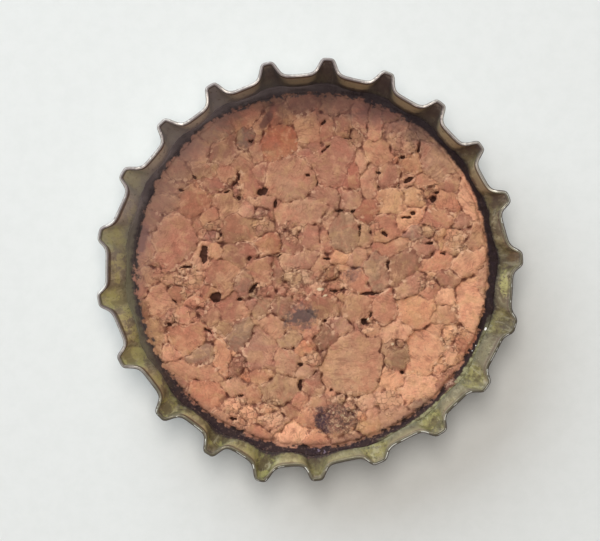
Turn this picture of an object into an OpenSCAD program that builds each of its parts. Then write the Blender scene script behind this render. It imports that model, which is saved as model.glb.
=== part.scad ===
// Bottle cap: a crown cap lying on its back, with its cork liner facing up.
// A pressed sheet-metal shell has a flat panel, a rounded corner and a skirt
// fluted into teeth. A cork disc sits on the panel inside it.
// Units are millimetres. Origin: centre of the panel's flat underside.
// +Z points to the open rim, +Y to the far side and +X to the right.

/* [Shell] */
// Inside diameter of the straight wall, which the liner goes into
bore_d = 27; // [20:0.1:40]
// Height from the panel's underside to the rim
shell_h = 6; // [4.5:0.1:12]
// Thickness of the metal sheet
sheet_t = 0.25; // [0.15:0.01:0.6]
// Outside radius of the corner between panel and wall
corner_r = 1.6; // [0.8:0.05:3]
// Height of plain wall between the corner and the start of the flutes
plain_wall_h = 0.3; // [0.2:0.05:1.5]

/* [Flutes] */
// Number of teeth around the rim
teeth = 21; // [12:1:40]
// How far the lands between the teeth lean out at the rim
land_flare = 0.7; // [0:0.05:2]
// How far the teeth stand out from the lands at the rim
tooth_out = 1.2; // [0.4:0.05:2.5]
// Width of a tooth halfway out from the land, at the rim
tooth_w = 1.5; // [0.8:0.05:2.4]
// Width of a tooth halfway out from the land, where the flutes begin
tooth_root_w = 2.8; // [1:0.05:4]
// How squarely a tooth rises from the land: low is a wave, high is a block
tooth_squareness = 5; // [2:0.5:8]
// How late the teeth swing out on the way up: 1 is a straight slope
tooth_curve = 1.25; // [1:0.05:2.5]
// How late the lands swing out on the way up: 1 is a straight slope
land_curve = 1.6; // [1:0.05:2.5]
// Direction of the first tooth, in degrees from +X
first_tooth = 0.1; // [-10:0.1:10]

/* [Bends left by opening] */
// Each bend is a direction, the degrees it spreads over, and how far it pushes the
// lands and the tooth tips out at the rim
// Skirt splayed on the left
left_splay = [180, 24, 0.76, 0.34]; // [-2:0.01:360]
// Lands pushed nearly flush with the teeth on the right
right_splay = [342, 24, 0.55, 0]; // [-2:0.01:360]
// One tooth pulled out at the front
front_pull = [257, 9, 0.5, 0.46]; // [-2:0.01:360]
// Teeth pressed in by the opener
opener_dent = [295, 13, -0.13, -0.52]; // [-2:0.01:360]
// Skirt pressed in a little behind on the left
rear_left_press = [128, 18, -0.2, -0.1]; // [-2:0.01:360]
// Teeth pressed in a little on the right
rear_right_press = [25, 18, -0.05, -0.12]; // [-2:0.01:360]
// How late a bend starts on the way up: 1 is from the very foot of the flutes
bend_curve = 1.5; // [1:0.1:3]
// Each shift is a direction, the degrees it spreads over, and the degrees by which
// it moves the teeth sideways
// Teeth shifted on the right
right_shift = [10, 32, 3.2]; // [-6:0.1:360]
// Teeth shifted behind on the left
rear_left_shift = [141, 44, -1.6]; // [-6:0.1:360]
// Teeth shifted beside the opener's dent
dent_shift = [279, 20, -3]; // [-6:0.1:360]
// Teeth shifted at the front left
front_left_shift = [228, 16, 1.3]; // [-6:0.1:360]

/* [Liner] */
// Thickness of the cork disc
liner_h = 2.7; // [1:0.1:4]
// Gap all round between the cork disc and the shell's wall
liner_gap = 0.4; // [0.05:0.05:1]
// Rounding of the cork disc's upper edge
liner_edge_r = 0.3; // [0.1:0.05:1]

/* [Hidden] */
$fn = 96;
bore_r = bore_d / 2;
wall_r = bore_r + sheet_t;
inner_corner_r = corner_r - sheet_t;
flute_z = corner_r + plain_wall_h;
flute_h = shell_h - flute_z;
liner_r = bore_r - liner_gap;
pitch = 360 / teeth;
// Length of one pitch along the rim, through the middle of the teeth
pitch_len = 2 * PI * (wall_r + land_flare + tooth_out / 2) / teeth;
bends = [left_splay, right_splay, front_pull, opener_dent, rear_left_press, rear_right_press];
shifts = [right_shift, rear_left_shift, dent_shift, front_left_shift];
// The skirt laps this far into the plain wall, and stays this far inside its faces
lap = 0.2;
seam = 0.01;
// The plain wall ends this far below the flutes
wall_stop = 0.05;
// Where the skirt's corners lie: up the flutes, and across one pitch from a tooth's middle
steps_up = [0, 0.16, 0.34, 0.52, 0.7, 0.86, 1];
half_across = [0.07, 0.12, 0.15, 0.185, 0.235, 0.33];
across = concat([for (i = [5:-1:0]) -half_across[i]], [0], half_across, [0.5]);
columns = teeth * len(across);

function total(v, i = 0) = i < len(v) ? v[i] + total(v, i + 1) : 0;
function off_by(a, b) = ((a - b) % 360 + 540) % 360 - 180;
function near(a, row) = exp(-pow(off_by(a, row[0]) / row[1], 2));
function push_out(a, which) = total([for (b = bends) b[which] * near(a, b)]);
function shifted(a) = a + total([for (s = shifts) s[2] * near(a, s)]);

// How much of a tooth there is at this share of a pitch from its middle, t of the way up
function tooth_share(s, t) =
    1 / (1 + pow(abs(s) * 2 * pitch_len / (tooth_root_w + (tooth_w - tooth_root_w) * t),
                 tooth_squareness));

// Radius of the skirt's outside at share s of tooth k's pitch, t of the way up the flutes
function skirt_r(k, s, t) =
    let (a = first_tooth + (k + s) * pitch,
         land_push = push_out(a, 2),
         tip_push = push_out(a, 3))
    wall_r
    + land_flare * pow(t, land_curve)
    + land_push * pow(t, bend_curve)
    + (tooth_out * pow(t, tooth_curve) + (tip_push - land_push) * pow(t, bend_curve))
      * tooth_share(s, t);

function skirt_angle(k, s) = shifted(first_tooth + (k + s) * pitch);

// Outside point of the skirt
function outer_pt(k, s, t) =
    let (r = skirt_r(k, s, t), a = skirt_angle(k, s))
    [r * cos(a), r * sin(a), flute_z + flute_h * t];

// Inside point at the same height, one sheet thickness in along the surface's normal
function inner_pt(k, s, t) =
    let (d = 0.002,
         r = skirt_r(k, s, t),
         a = skirt_angle(k, s),
         turned = (skirt_angle(k, s + d) - skirt_angle(k, s - d)) * PI / 180,
         around = (skirt_r(k, s + d, t) - skirt_r(k, s - d, t)) / turned / r,
         low = max(0, t - d),
         up = (skirt_r(k, s, min(1, t + d)) - skirt_r(k, s, low))
              / ((min(1, t + d) - low) * flute_h),
         lean = sqrt(1 + around * around),
         move = sheet_t * sqrt(lean * lean + up * up) / lean,
         p = outer_pt(k, s, t))
    [p[0] - move * (cos(a) + around * sin(a)) / lean,
     p[1] - move * (sin(a) - around * cos(a)) / lean,
     p[2]];

// A ring of points for the plain foot of the skirt
function foot_ring(r, z) =
    [for (k = [0:teeth - 1], s = across)
        let (a = skirt_angle(k, s)) [r * cos(a), r * sin(a), z]];
function outer_ring(t) = [for (k = [0:teeth - 1], s = across) outer_pt(k, s, t)];
function inner_ring(t) = [for (k = [0:teeth - 1], s = across) inner_pt(k, s, t)];

// Two triangles for each four-sided patch between rings i and j of points
function band(i, j) =
    [for (c = [0:columns - 1], half = [0, 1])
        let (n = (c + 1) % columns,
             a = i * columns + c, b = i * columns + n,
             d = j * columns + c, e = j * columns + n)
        half == 0 ? [a, e, b] : [a, d, e]];

// The fluted skirt, whose foot laps into the plain wall
module skirt() {
    rings = len(steps_up) + 1;
    points = concat(
        foot_ring(wall_r - seam, flute_z - wall_stop - lap),
        foot_ring(wall_r - seam, flute_z),
        [for (i = [1:len(steps_up) - 1]) each outer_ring(steps_up[i])],
        foot_ring(bore_r + seam, flute_z - wall_stop - lap),
        foot_ring(bore_r + seam, flute_z),
        [for (i = [1:len(steps_up) - 1]) each inner_ring(steps_up[i])]);
    faces = concat(
        [for (i = [0:rings - 2]) each band(i, i + 1)],
        [for (i = [0:rings - 2]) each band(rings + i + 1, rings + i)],
        band(rings - 1, 2 * rings - 1),
        band(rings, 0));
    polyhedron(points, faces, convexity = 10);
}

// Half section of a round-cornered cup's outline, filled to the axis
module cup_half(r, corner, floor_z, top_z) {
    translate([0, floor_z]) square([r - corner, top_z - floor_z]);
    translate([0, floor_z + corner]) square([r, top_z - floor_z - corner]);
    intersection() {
        translate([r - corner, floor_z + corner]) circle(corner);
        translate([r - corner, floor_z]) square(corner);
    }
}

module cup() {
    rotate_extrude()
        difference() {
            cup_half(wall_r, corner_r, 0, flute_z - wall_stop);
            cup_half(bore_r, inner_corner_r, sheet_t, flute_z + 1);
        }
}

// Panel, corner, wall and fluted skirt, pressed from one sheet
module shell() {
    color([0.66, 0.64, 0.52])
    union() {
        cup();
        skirt();
    }
}

// Cork disc, whose lower edge is rounded like the shell's inside corner
module cork_liner() {
    color([0.74, 0.52, 0.4])
    rotate_extrude()
        union() {
            difference() {
                cup_half(liner_r, inner_corner_r, sheet_t, sheet_t + liner_h);
                translate([liner_r - liner_edge_r, sheet_t + liner_h - liner_edge_r])
                    square(2 * liner_edge_r);
            }
            translate([liner_r - liner_edge_r, sheet_t + liner_h - liner_edge_r])
                circle(liner_edge_r);
        }
}

shell();
cork_liner();
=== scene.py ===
"""A used bottle cap that lies on its back: a fluted tinplate shell, worn by an opener,
and the pressed cork disc inside it."""

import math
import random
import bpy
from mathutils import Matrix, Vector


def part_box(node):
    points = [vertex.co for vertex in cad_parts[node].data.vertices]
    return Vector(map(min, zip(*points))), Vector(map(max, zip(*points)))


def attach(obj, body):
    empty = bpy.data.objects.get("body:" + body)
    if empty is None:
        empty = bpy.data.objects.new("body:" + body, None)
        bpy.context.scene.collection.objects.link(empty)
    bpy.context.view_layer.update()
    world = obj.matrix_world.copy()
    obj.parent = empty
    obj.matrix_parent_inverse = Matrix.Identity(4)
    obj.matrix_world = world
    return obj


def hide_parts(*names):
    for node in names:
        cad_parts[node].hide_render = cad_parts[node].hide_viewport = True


bl_info = {
    "name": "Bottle Cap",
    "version": (1, 0, 0),
    "blender": (4, 5, 0),
    "location": "3D View > Sidebar > Bottle Cap",
    "description": "Makes a used crown cap with a cork liner, lying on its back",
    "category": "Add Mesh",
}

import bmesh
import bpy
import numpy as np
from bpy.props import FloatProperty, FloatVectorProperty, IntProperty, PointerProperty
from mathutils import Vector, noise

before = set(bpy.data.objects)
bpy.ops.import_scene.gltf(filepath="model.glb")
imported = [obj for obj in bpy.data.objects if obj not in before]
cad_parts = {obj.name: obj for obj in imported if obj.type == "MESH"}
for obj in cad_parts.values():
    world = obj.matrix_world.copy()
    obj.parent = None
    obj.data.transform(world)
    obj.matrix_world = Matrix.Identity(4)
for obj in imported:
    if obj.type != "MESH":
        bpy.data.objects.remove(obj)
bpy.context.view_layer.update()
SHELL_LOW, SHELL_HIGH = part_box("shell")
CORK_LOW, CORK_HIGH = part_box("cork_liner")
MM = 0.001

# Bends left by opening: direction and spread in degrees, then how far the lands and the
# tooth tips are pushed out at the rim, in millimetres
BENDS = {
    "left splay": (180, 24, 0.76, 0.34),
    "right splay": (342, 24, 0.55, 0.0),
    "front pull": (257, 9, 0.5, 0.46),
    "opener dent": (295, 13, -0.13, -0.52),
    "rear left press": (128, 18, -0.2, -0.1),
    "rear right press": (25, 18, -0.05, -0.12),
}
# Sideways shifts of the teeth: direction, spread and shift, in degrees
SHIFTS = {
    "right": (10, 32, 3.2),
    "rear left": (141, 44, -1.6),
    "dent": (279, 20, -3.0),
    "front left": (228, 16, 1.3),
}

# Colours of pressed cork granules, as 8-bit sRGB
CORK_TINTS = {
    "salmon": (187, 126, 100),
    "tan": (186, 133, 105),
    "rosy": (175, 119, 96),
    "peach": (203, 145, 115),
    "ochre": (197, 147, 111),
    "olive": (168, 127, 99),
    "grey": (150, 114, 94),
    "brown": (167, 114, 91),
    "buff": (194, 141, 110),
    "umber": (156, 109, 85),
    "pale": (214, 156, 124),
    "red": (170, 104, 82),
    "orange": (196, 128, 96),
}
# Small granules between the large ones: how many of each tint, the radii in millimetres in
# the order in which they are fitted, and how many random places are tried for each radius
FILLER_TINTS = (
    ("salmon", 24), ("tan", 20), ("rosy", 12), ("peach", 10), ("orange", 5),
    ("olive", 6), ("brown", 9), ("umber", 6), ("ochre", 4), ("buff", 10),
)
FILLER_RADII = (1.1, 0.8, 0.6, 0.44, 0.32, 0.24, 0.17)
FILLER_TRIES = 6000
# A small granule goes in where there is room for this share of its radius
FILLER_ROOM = 0.7
# Granules of less than this radius lie only in the crumbly places
CRUMB_R = 0.5
# How angular an outline is: 1 is straight-sided and 0 is round
GRANULE_ANGULAR, PIT_ANGULAR = 0.94, 0.6

# Large granules: place from the disc's middle, length and width in millimetres,
# direction of the length in degrees, tint
LARGE_GRANULES = (
    # Behind on the left
    (-7.2, 10.4, 2.8, 1.6, 20, "grey"), (-8.7, 8.7, 2.6, 2.2, 60, "tan"),
    (-6.3, 8.9, 2.0, 1.9, 80, "rosy"), (-5.0, 11.4, 2.4, 1.8, 20, "brown"),
    (-9.9, 7.2, 2.2, 1.6, 60, "olive"), (-7.8, 7.3, 1.7, 1.0, 5, "olive"),
    (-7.3, 6.3, 1.7, 1.0, 0, "rosy"), (-10.7, 6.3, 1.8, 1.4, 0, "tan"),
    (-11.0, 4.9, 2.0, 1.5, 0, "buff"), (-8.7, 5.0, 2.5, 2.0, 60, "rosy"),
    (-6.3, 7.1, 1.3, 1.2, 0, "tan"), (-5.0, 8.0, 1.5, 1.1, 20, "tan"),
    (-4.6, 6.3, 1.7, 1.4, 90, "salmon"), (-6.4, 4.8, 1.7, 1.5, 60, "buff"),
    (-5.1, 9.7, 1.7, 1.1, 60, "grey"),
    # Behind in the middle
    (-2.4, 9.5, 2.5, 2.3, 0, "red"), (-1.4, 6.8, 3.7, 2.9, 35, "tan"),
    (1.6, 8.0, 3.4, 2.8, 40, "rosy"), (3.0, 7.1, 1.9, 1.0, 85, "red"),
    (1.1, 5.5, 1.9, 0.9, -25, "brown"), (2.9, 5.2, 1.6, 1.4, 90, "brown"),
    (4.3, 6.7, 1.9, 0.9, 90, "tan"), (5.0, 8.7, 2.4, 1.5, -5, "tan"),
    (-0.2, 10.4, 2.4, 1.7, 80, "buff"), (-2.4, 11.6, 1.8, 1.7, 0, "brown"),
    (1.1, 10.6, 1.8, 1.0, 90, "rosy"), (2.4, 11.0, 2.0, 1.1, 90, "salmon"),
    (3.6, 11.3, 2.2, 1.3, 90, "rosy"), (0.1, 9.2, 1.6, 0.7, -15, "rosy"),
    (-0.5, 8.7, 1.4, 0.6, 10, "rosy"), (-4.2, 8.5, 1.3, 0.9, 90, "tan"),
    (-3.9, 7.1, 1.2, 1.0, 90, "rosy"), (-0.7, 4.2, 4.0, 1.9, 0, "tan"),
    (-3.5, 4.9, 1.7, 0.8, 5, "peach"), (1.1, 3.9, 1.1, 0.9, 60, "buff"),
    (4.3, 4.2, 1.6, 1.3, 70, "red"),
    # Behind on the right
    (4.7, 11.1, 2.2, 1.2, 90, "salmon"), (5.8, 11.4, 1.2, 0.9, 0, "brown"),
    (6.4, 10.5, 1.6, 1.0, 20, "peach"), (8.3, 10.1, 2.4, 0.9, -35, "olive"),
    (9.2, 8.0, 3.6, 1.8, -70, "buff"), (7.3, 7.9, 1.8, 1.4, 60, "tan"),
    (5.9, 6.9, 1.6, 1.5, 0, "salmon"), (8.4, 6.4, 1.8, 1.0, 10, "tan"),
    (8.7, 5.7, 0.9, 0.8, 0, "tan"), (6.1, 5.0, 2.0, 1.9, 0, "ochre"),
    (7.6, 5.5, 1.8, 1.6, 0, "ochre"), (10.1, 4.9, 1.8, 1.6, 70, "salmon"),
    (10.1, 6.4, 1.5, 1.0, -60, "rosy"), (11.6, 5.1, 2.2, 1.2, -85, "peach"),
    # Left
    (-10.2, 2.2, 4.2, 3.4, 80, "salmon"), (-8.7, 3.3, 1.3, 0.9, 90, "tan"),
    (-7.2, 3.2, 1.5, 0.8, 0, "buff"), (-7.3, 2.5, 1.3, 0.7, 0, "rosy"),
    (-5.4, 3.0, 2.8, 2.1, 10, "buff"), (-7.1, 1.4, 1.2, 1.1, 0, "ochre"),
    (-5.5, 1.2, 2.4, 1.5, 0, "brown"), (-6.7, -0.5, 2.4, 1.9, 70, "salmon"),
    (-4.9, -1.1, 1.8, 1.3, 90, "umber"), (-8.8, -0.7, 1.4, 1.2, 90, "buff"),
    (-10.3, -0.7, 1.7, 1.2, 0, "peach"), (-9.9, -1.7, 1.9, 0.9, -10, "rosy"),
    (-11.9, -0.6, 1.6, 1.3, 90, "peach"), (-11.4, -2.3, 2.4, 2.0, 80, "peach"),
    (-8.5, -2.4, 1.6, 1.1, 0, "salmon"), (-9.3, -3.6, 1.8, 1.4, 0, "salmon"),
    (-6.0, -3.1, 1.9, 1.7, 0, "rosy"), (-7.3, -3.5, 1.3, 1.1, 30, "tan"),
    # Middle
    (-3.1, 2.0, 1.9, 1.4, 20, "rosy"), (-0.1, 2.4, 1.9, 1.6, 90, "rosy"),
    (-1.0, 0.7, 2.6, 1.5, 5, "tan"), (2.5, 2.6, 2.6, 2.1, 90, "olive"),
    (1.0, 1.9, 1.7, 0.8, -60, "rosy"), (4.0, 2.4, 1.9, 0.9, 90, "olive"),
    (3.4, 0.9, 2.0, 0.9, 45, "tan"), (4.8, -0.3, 2.5, 1.7, 80, "olive"),
    (-3.7, -0.3, 2.0, 1.7, 80, "brown"), (-2.6, -0.3, 2.0, 0.7, 90, "umber"),
    (-0.9, -0.6, 2.2, 1.2, 0, "olive"), (1.5, -0.4, 1.6, 1.1, 0, "umber"),
    (-0.9, -1.7, 2.0, 0.8, 0, "brown"), (1.1, -2.7, 2.8, 1.8, -5, "brown"),
    (3.3, -2.8, 2.3, 2.0, 60, "tan"), (-2.0, -2.8, 1.6, 1.3, 60, "umber"),
    (-3.7, -2.8, 1.8, 1.0, 85, "olive"), (-3.4, -1.6, 1.2, 0.8, 0, "rosy"),
    # Right
    (5.8, 1.7, 2.2, 1.0, 10, "orange"), (7.7, 2.7, 1.1, 1.0, 0, "grey"),
    (9.6, 3.9, 2.1, 1.7, 0, "salmon"), (9.6, 2.5, 1.2, 0.8, 80, "ochre"),
    (10.7, 2.3, 1.9, 1.4, 20, "tan"), (12.0, 2.4, 1.6, 1.1, 80, "tan"),
    (7.0, 0.3, 2.4, 1.7, 40, "umber"), (7.5, -1.1, 2.6, 1.0, 42, "tan"),
    (9.2, 0.5, 2.0, 1.2, 10, "salmon"), (11.7, 0.4, 2.3, 1.9, 30, "peach"),
    (9.9, -0.6, 1.7, 1.2, 0, "brown"), (11.9, -2.7, 3.9, 1.9, -88, "peach"),
    (10.0, -2.2, 1.2, 1.0, 0, "pale"), (5.5, -3.1, 2.4, 1.6, 75, "rosy"),
    (7.7, -3.0, 2.7, 2.1, 0, "tan"), (9.8, -3.4, 1.4, 1.2, 0, "buff"),
    # In front on the left
    (-11.6, -4.9, 2.6, 1.2, -75, "ochre"), (-9.2, -4.9, 3.0, 2.2, 20, "salmon"),
    (-10.6, -6.0, 1.6, 0.9, -60, "peach"), (-8.1, -6.3, 2.2, 1.4, 40, "grey"),
    (-7.6, -5.0, 1.2, 0.8, -20, "rosy"), (-6.7, -6.4, 2.6, 1.2, -78, "peach"),
    (-5.3, -5.1, 2.2, 1.5, 50, "grey"), (-6.6, -4.3, 1.4, 0.9, 0, "olive"),
    (-8.9, -7.6, 3.4, 1.5, -5, "tan"), (-7.9, -9.3, 2.8, 2.0, -15, "salmon"),
    (-5.6, -8.8, 1.6, 1.3, 0, "buff"), (-4.3, -9.4, 1.5, 1.2, -70, "peach"),
    (-6.0, -10.3, 1.6, 1.2, 0, "pale"), (-4.8, -10.8, 1.4, 1.2, 0, "pale"),
    (-5.6, -7.2, 1.4, 0.9, 80, "rosy"),
    # In front in the middle
    (-3.8, -6.0, 2.8, 2.2, 75, "brown"), (-1.6, -5.3, 1.9, 1.2, 20, "olive"),
    (-1.9, -6.8, 1.9, 1.6, -50, "buff"), (0.9, -5.0, 1.9, 1.4, 50, "umber"),
    (0.2, -6.7, 1.3, 0.8, 0, "tan"), (-0.3, -7.7, 1.2, 0.9, 0, "tan"),
    (0.2, -8.6, 1.9, 1.5, 60, "rosy"), (-2.4, -9.0, 2.7, 1.9, 10, "olive"),
    (3.2, -6.9, 5.0, 4.2, 70, "buff"), (0.6, -10.0, 2.0, 1.3, 0, "rosy"),
    (-1.6, -10.6, 1.3, 1.0, 0, "salmon"), (-3.0, -11.2, 2.0, 1.2, 20, "pale"),
    (-1.2, -12.2, 2.6, 1.4, 10, "pale"), (4.4, -11.6, 1.9, 1.2, 15, "ochre"),
    (2.6, -12.3, 2.2, 0.8, 0, "tan"),
    # In front on the right
    (6.2, -4.6, 2.0, 1.6, 20, "pale"), (6.5, -6.7, 1.6, 1.4, 50, "olive"),
    (5.8, -5.8, 1.1, 0.8, 0, "olive"), (8.6, -6.2, 3.9, 2.2, 65, "peach"),
    (10.3, -4.9, 1.6, 1.2, 0, "pale"), (10.3, -6.5, 1.4, 0.9, 70, "pale"),
    (7.9, -8.8, 2.9, 1.7, 5, "peach"), (5.9, -8.2, 1.8, 1.5, 0, "peach"),
    (5.8, -9.8, 2.2, 1.5, 0, "pale"), (7.9, -10.0, 1.6, 0.8, 25, "grey"),
    (4.0, -9.9, 1.6, 1.0, 0, "pale"),
)

# Open pits and cracks between granules: place, length and width in millimetres,
# direction in degrees
PITS = (
    (-3.65, 5.8, 0.95, 0.55, 15), (-2.7, 4.85, 0.75, 0.28, 75), (-7.95, 1.1, 1.5, 0.5, 85),
    (-7.1, -2.05, 0.86, 0.86, 0), (-4.6, 0.8, 0.42, 0.36, 0), (-4.35, -1.4, 0.9, 0.28, 60),
    (-5.3, -2.2, 0.5, 0.28, 10), (-0.8, -7.1, 0.5, 0.34, 0), (-0.85, -8.6, 0.9, 0.34, 90),
    (-1.3, -5.85, 0.26, 0.22, 0), (4.35, -1.75, 1.5, 0.24, 0), (1.6, -1.65, 0.6, 0.24, -5),
    (3.95, -3.9, 0.55, 0.5, 0), (4.4, -3.4, 0.45, 0.22, 70), (1.0, -3.85, 0.32, 0.2, 0),
    (1.55, -8.95, 0.3, 0.26, 0), (7.2, 6.65, 0.9, 0.32, 35), (9.1, 5.2, 0.55, 0.45, 0),
    (9.3, 5.65, 0.4, 0.26, 0), (7.55, 4.2, 0.42, 0.36, 0), (7.1, 3.88, 0.7, 0.24, 5),
    (5.0, 7.15, 0.55, 0.24, 0), (4.95, 6.15, 0.26, 0.24, 0), (6.7, 8.35, 0.7, 0.2, 0),
    (8.0, 8.9, 0.5, 0.2, 60), (5.4, 2.65, 0.6, 0.26, -20), (8.8, 1.92, 0.7, 0.18, 0),
    (9.8, 1.2, 0.5, 0.18, -20), (5.7, 0.3, 0.9, 0.15, 80), (3.6, 2.9, 1.2, 0.15, 85),
    (1.1, 0.8, 0.7, 0.18, 0), (-2.4, 1.0, 0.5, 0.2, 30), (-0.25, 7.05, 0.36, 0.24, 0),
    (0.42, 6.4, 0.6, 0.15, 90), (1.1, 9.0, 1.1, 0.15, 45), (2.7, 9.75, 0.8, 0.18, -10),
    (2.1, 4.35, 0.9, 0.22, 0), (3.1, 4.3, 0.5, 0.2, 0), (0.9, 10.9, 0.6, 0.2, 50),
    (-4.5, 9.6, 0.5, 0.22, 10), (-5.4, 6.9, 0.55, 0.2, 75), (-5.7, 6.4, 0.5, 0.16, 45),
    (-6.3, 5.75, 0.55, 0.17, 20), (-5.4, 5.35, 0.36, 0.28, 0), (-8.7, 6.85, 0.5, 0.2, -50),
    (-9.7, 5.9, 0.5, 0.16, 0), (-6.8, 2.5, 0.5, 0.18, 80), (-9.4, 0.15, 1.0, 0.15, 5),
    (-10.2, -2.4, 0.5, 0.16, -40), (-10.6, -4.05, 0.46, 0.3, -20), (-7.7, -4.6, 0.9, 0.2, -35),
    (-6.1, -8.1, 0.55, 0.22, 15), (-5.3, -9.45, 0.6, 0.16, 10), (-5.85, -11.15, 0.7, 0.2, -10),
    (6.75, -7.65, 0.34, 0.28, 0),
)

# Flecks of lighter stuff caught in the cork: place, half size, direction in degrees
WHITE_FLECKS = (
    ((0.68, -1.47), (0.28, 0.13), 5), ((1.02, -1.93), (0.19, 0.09), 20),
    ((6.05, -5.55), (0.1, 0.06), 0), ((4.2, -3.7), (0.14, 0.07), 60),
)

# A crumb of cork in the residue, and white flecks there: place, half size, direction
CRUMB_PLACE = (10.25, -8.6)
RING_FLECKS = (
    ((12.94, -4.42), (0.13, 0.08), 50), ((12.22, -5.65), (0.05, 0.03), 60),
    ((11.95, -6.05), (0.055, 0.03), 20),
)

# Plain stains on the cork: place, half size, direction, raggedness, share, 8-bit sRGB colour
CORK_STAINS = {
    "scrape": ((-3.35, 11.1), (0.35, 0.85), -35, 0.3, 0.75, (98, 62, 58)),
    "dust": ((5.2, -10.3), (1.8, 1.3), 0, 0.5, 0.28, (232, 174, 140)),
    "pale strip": ((-12.05, 2.5), (0.12, 0.6), 0, 0.25, 0.7, (206, 158, 136)),
    "plum": ((-12.6, 2.3), (0.48, 1.2), -10, 0.35, 0.8, (96, 58, 64)),
}

# Places where the cork is in small crumbs: place and radius in millimetres
CRUMBLY = (
    (-5.7, 6.3, 0.8), (6.9, 9.2, 1.2), (-1.5, 2.8, 1.0), (-3.8, 3.5, 0.9), (-7.4, 2.8, 0.8),
    (-1.2, -0.8, 1.2), (1.6, -0.9, 1.4), (-9.2, -0.8, 1.2), (-8.4, -3.0, 0.9), (2.6, -10.6, 1.8),
    (-3.0, -10.7, 1.2), (8.6, -1.0, 0.8), (8.7, 2.6, 0.9), (10.8, 2.2, 1.0), (0.3, -6.4, 0.8),
    (-5.2, -10.7, 1.3), (5.6, -9.9, 1.1), (8.6, 5.5, 0.9), (-5.4, -7.3, 0.9), (4.0, -4.2, 0.7),
    (-11.2, -0.2, 0.8), (10.7, -5.4, 1.0), (9.9, -7.6, 0.7), (-3.9, -1.7, 0.8), (4.7, 3.1, 0.7),
    (3.0, 10.1, 0.8), (6.0, -5.6, 0.6), (-10.4, -3.9, 0.7),
)

# Depths in the cork's face, in millimetres: the rounding of a granule, the openings where
# three granules meet, pits, chipped places and the disc's worn edge
DOME_DEPTH, CORNER_DEPTH, PIT_DEPTH, CHIP_DEPTH, EDGE_DEPTH = 0.05, 0.17, 0.45, 0.07, 0.2
# The face ends this far inside the disc's radius, in millimetres
FACE_MARGIN = 0.02
# The disc's lower edge is rounded in this many steps
ROOT_STEPS = 5
# Stands for the wall's radius in the profile of the cork's sides
TO_WALL = 100

# The shell's points: radii of the panel's rings in millimetres, then steps round the
# corner, up the wall and across each tooth
PANEL_RINGS = (0, 2, 4, 6, 8, 9.5, 10.8, 11.6)
CORNER_STEPS = 8
WALL_STEPS = 15
STEPS_PER_TOOTH = 32
# The share of the skirt's height, at the rim, over which its slope is measured
RIM_SPAN = 0.03

# Turns the sum or difference of two axes into a distance along the diagonal between them
DIAGONAL = 0.7

# The floor's radius in metres, and linear colours of the lamps, of the even light and of
# the backdrop that the camera sees
FLOOR_R = 2.0
TOP_LIGHT, SIDE_LIGHT = (1.0, 0.97, 0.9), (0.87, 1.0, 1.08)
SKY_LIGHT, BACKDROP = (1, 0.955, 0.9, 1), (0.9, 0.905, 0.9, 1)


def srgb(red, green, blue):
    """An 8-bit sRGB colour as the linear colour that shaders use."""
    return tuple(
        (c / 255 / 12.92) if c / 255 <= 0.04045 else ((c / 255 + 0.055) / 1.055) ** 2.4
        for c in (red, green, blue)
    )


def colour_choice(name, description, rgb):
    """A colour that shows in the sidebar, with its default as 8-bit sRGB."""
    return FloatVectorProperty(
        name=name, description=description, subtype="COLOR", size=3, min=0, max=1,
        default=srgb(*rgb),
    )


def length(name, description, default):
    """A length in metres that shows in the sidebar."""
    return FloatProperty(
        name=name, description=description, default=default, unit="LENGTH", precision=5
    )


def plain_number(name, description, default):
    """A plain number that shows in the sidebar."""
    return FloatProperty(name=name, description=description, default=default)


def lamp_place(name, default):
    """Where a lamp is, and its size, as they show in the sidebar."""
    described = "Direction and elevation in degrees, then distance, width and height in mm"
    return FloatVectorProperty(name=name, description=described, size=5, default=default)


# ---------------------------------------------------------------- sizes and colours


class CapShellSizes(bpy.types.PropertyGroup):
    """Sizes of the pressed metal shell."""

    bore_d: length("Bore", "Inside diameter of the straight wall", 27 * MM)
    height: length("Height", "Height to the rim", SHELL_HIGH.z - SHELL_LOW.z)
    sheet: length("Sheet", "Thickness of the metal", 0.25 * MM)
    corner_r: length("Corner", "Outside radius of the corner", 1.6 * MM)
    plain_wall: length("Plain wall", "Plain wall under the flutes", 0.3 * MM)
    land_flare: length("Land flare", "How far the lands lean out at the rim", 0.7 * MM)
    tooth_out: length("Tooth height", "How far teeth stand out from the lands", 1.2 * MM)
    tooth_w: length("Tooth width", "Width of a tooth halfway out, at the rim", 1.5 * MM)
    tooth_root_w: length("Tooth root", "Width of a tooth where it begins", 2.8 * MM)
    edge_r: length("Edge rounding", "Rounding of the cut edge", 0.035 * MM)
    teeth: IntProperty(name="Teeth", description="Number of teeth", default=21, min=3)
    first_tooth: plain_number("First tooth", "Direction of the first tooth, in degrees", 0.1)
    squareness: plain_number("Squareness", "How squarely a tooth rises from the land", 5)
    tooth_curve: plain_number("Tooth curve", "How late teeth swing out on the way up", 1.25)
    land_curve: plain_number("Land curve", "How late lands swing out on the way up", 1.6)
    bend_curve: plain_number("Bend curve", "How late bends start on the way up", 1.5)


class CapCorkSizes(bpy.types.PropertyGroup):
    """Sizes of the cork disc and its granules."""

    radius: length("Radius", "Radius of the disc", (CORK_HIGH.x - CORK_LOW.x) / 2)
    root_r: length("Lower edge", "Rounding of the disc's lower edge", 1.35 * MM)
    crevice: length("Crevice", "Depth of the widest seams between granules", 0.24 * MM)
    wander: length("Wander", "How far granule outlines stray from straight", 0.15 * MM)
    fineness: IntProperty(name="Fineness", description="Faces across the disc", default=270)
    seed: IntProperty(name="Seed", description="Seed of the granule pattern", default=11)


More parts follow.
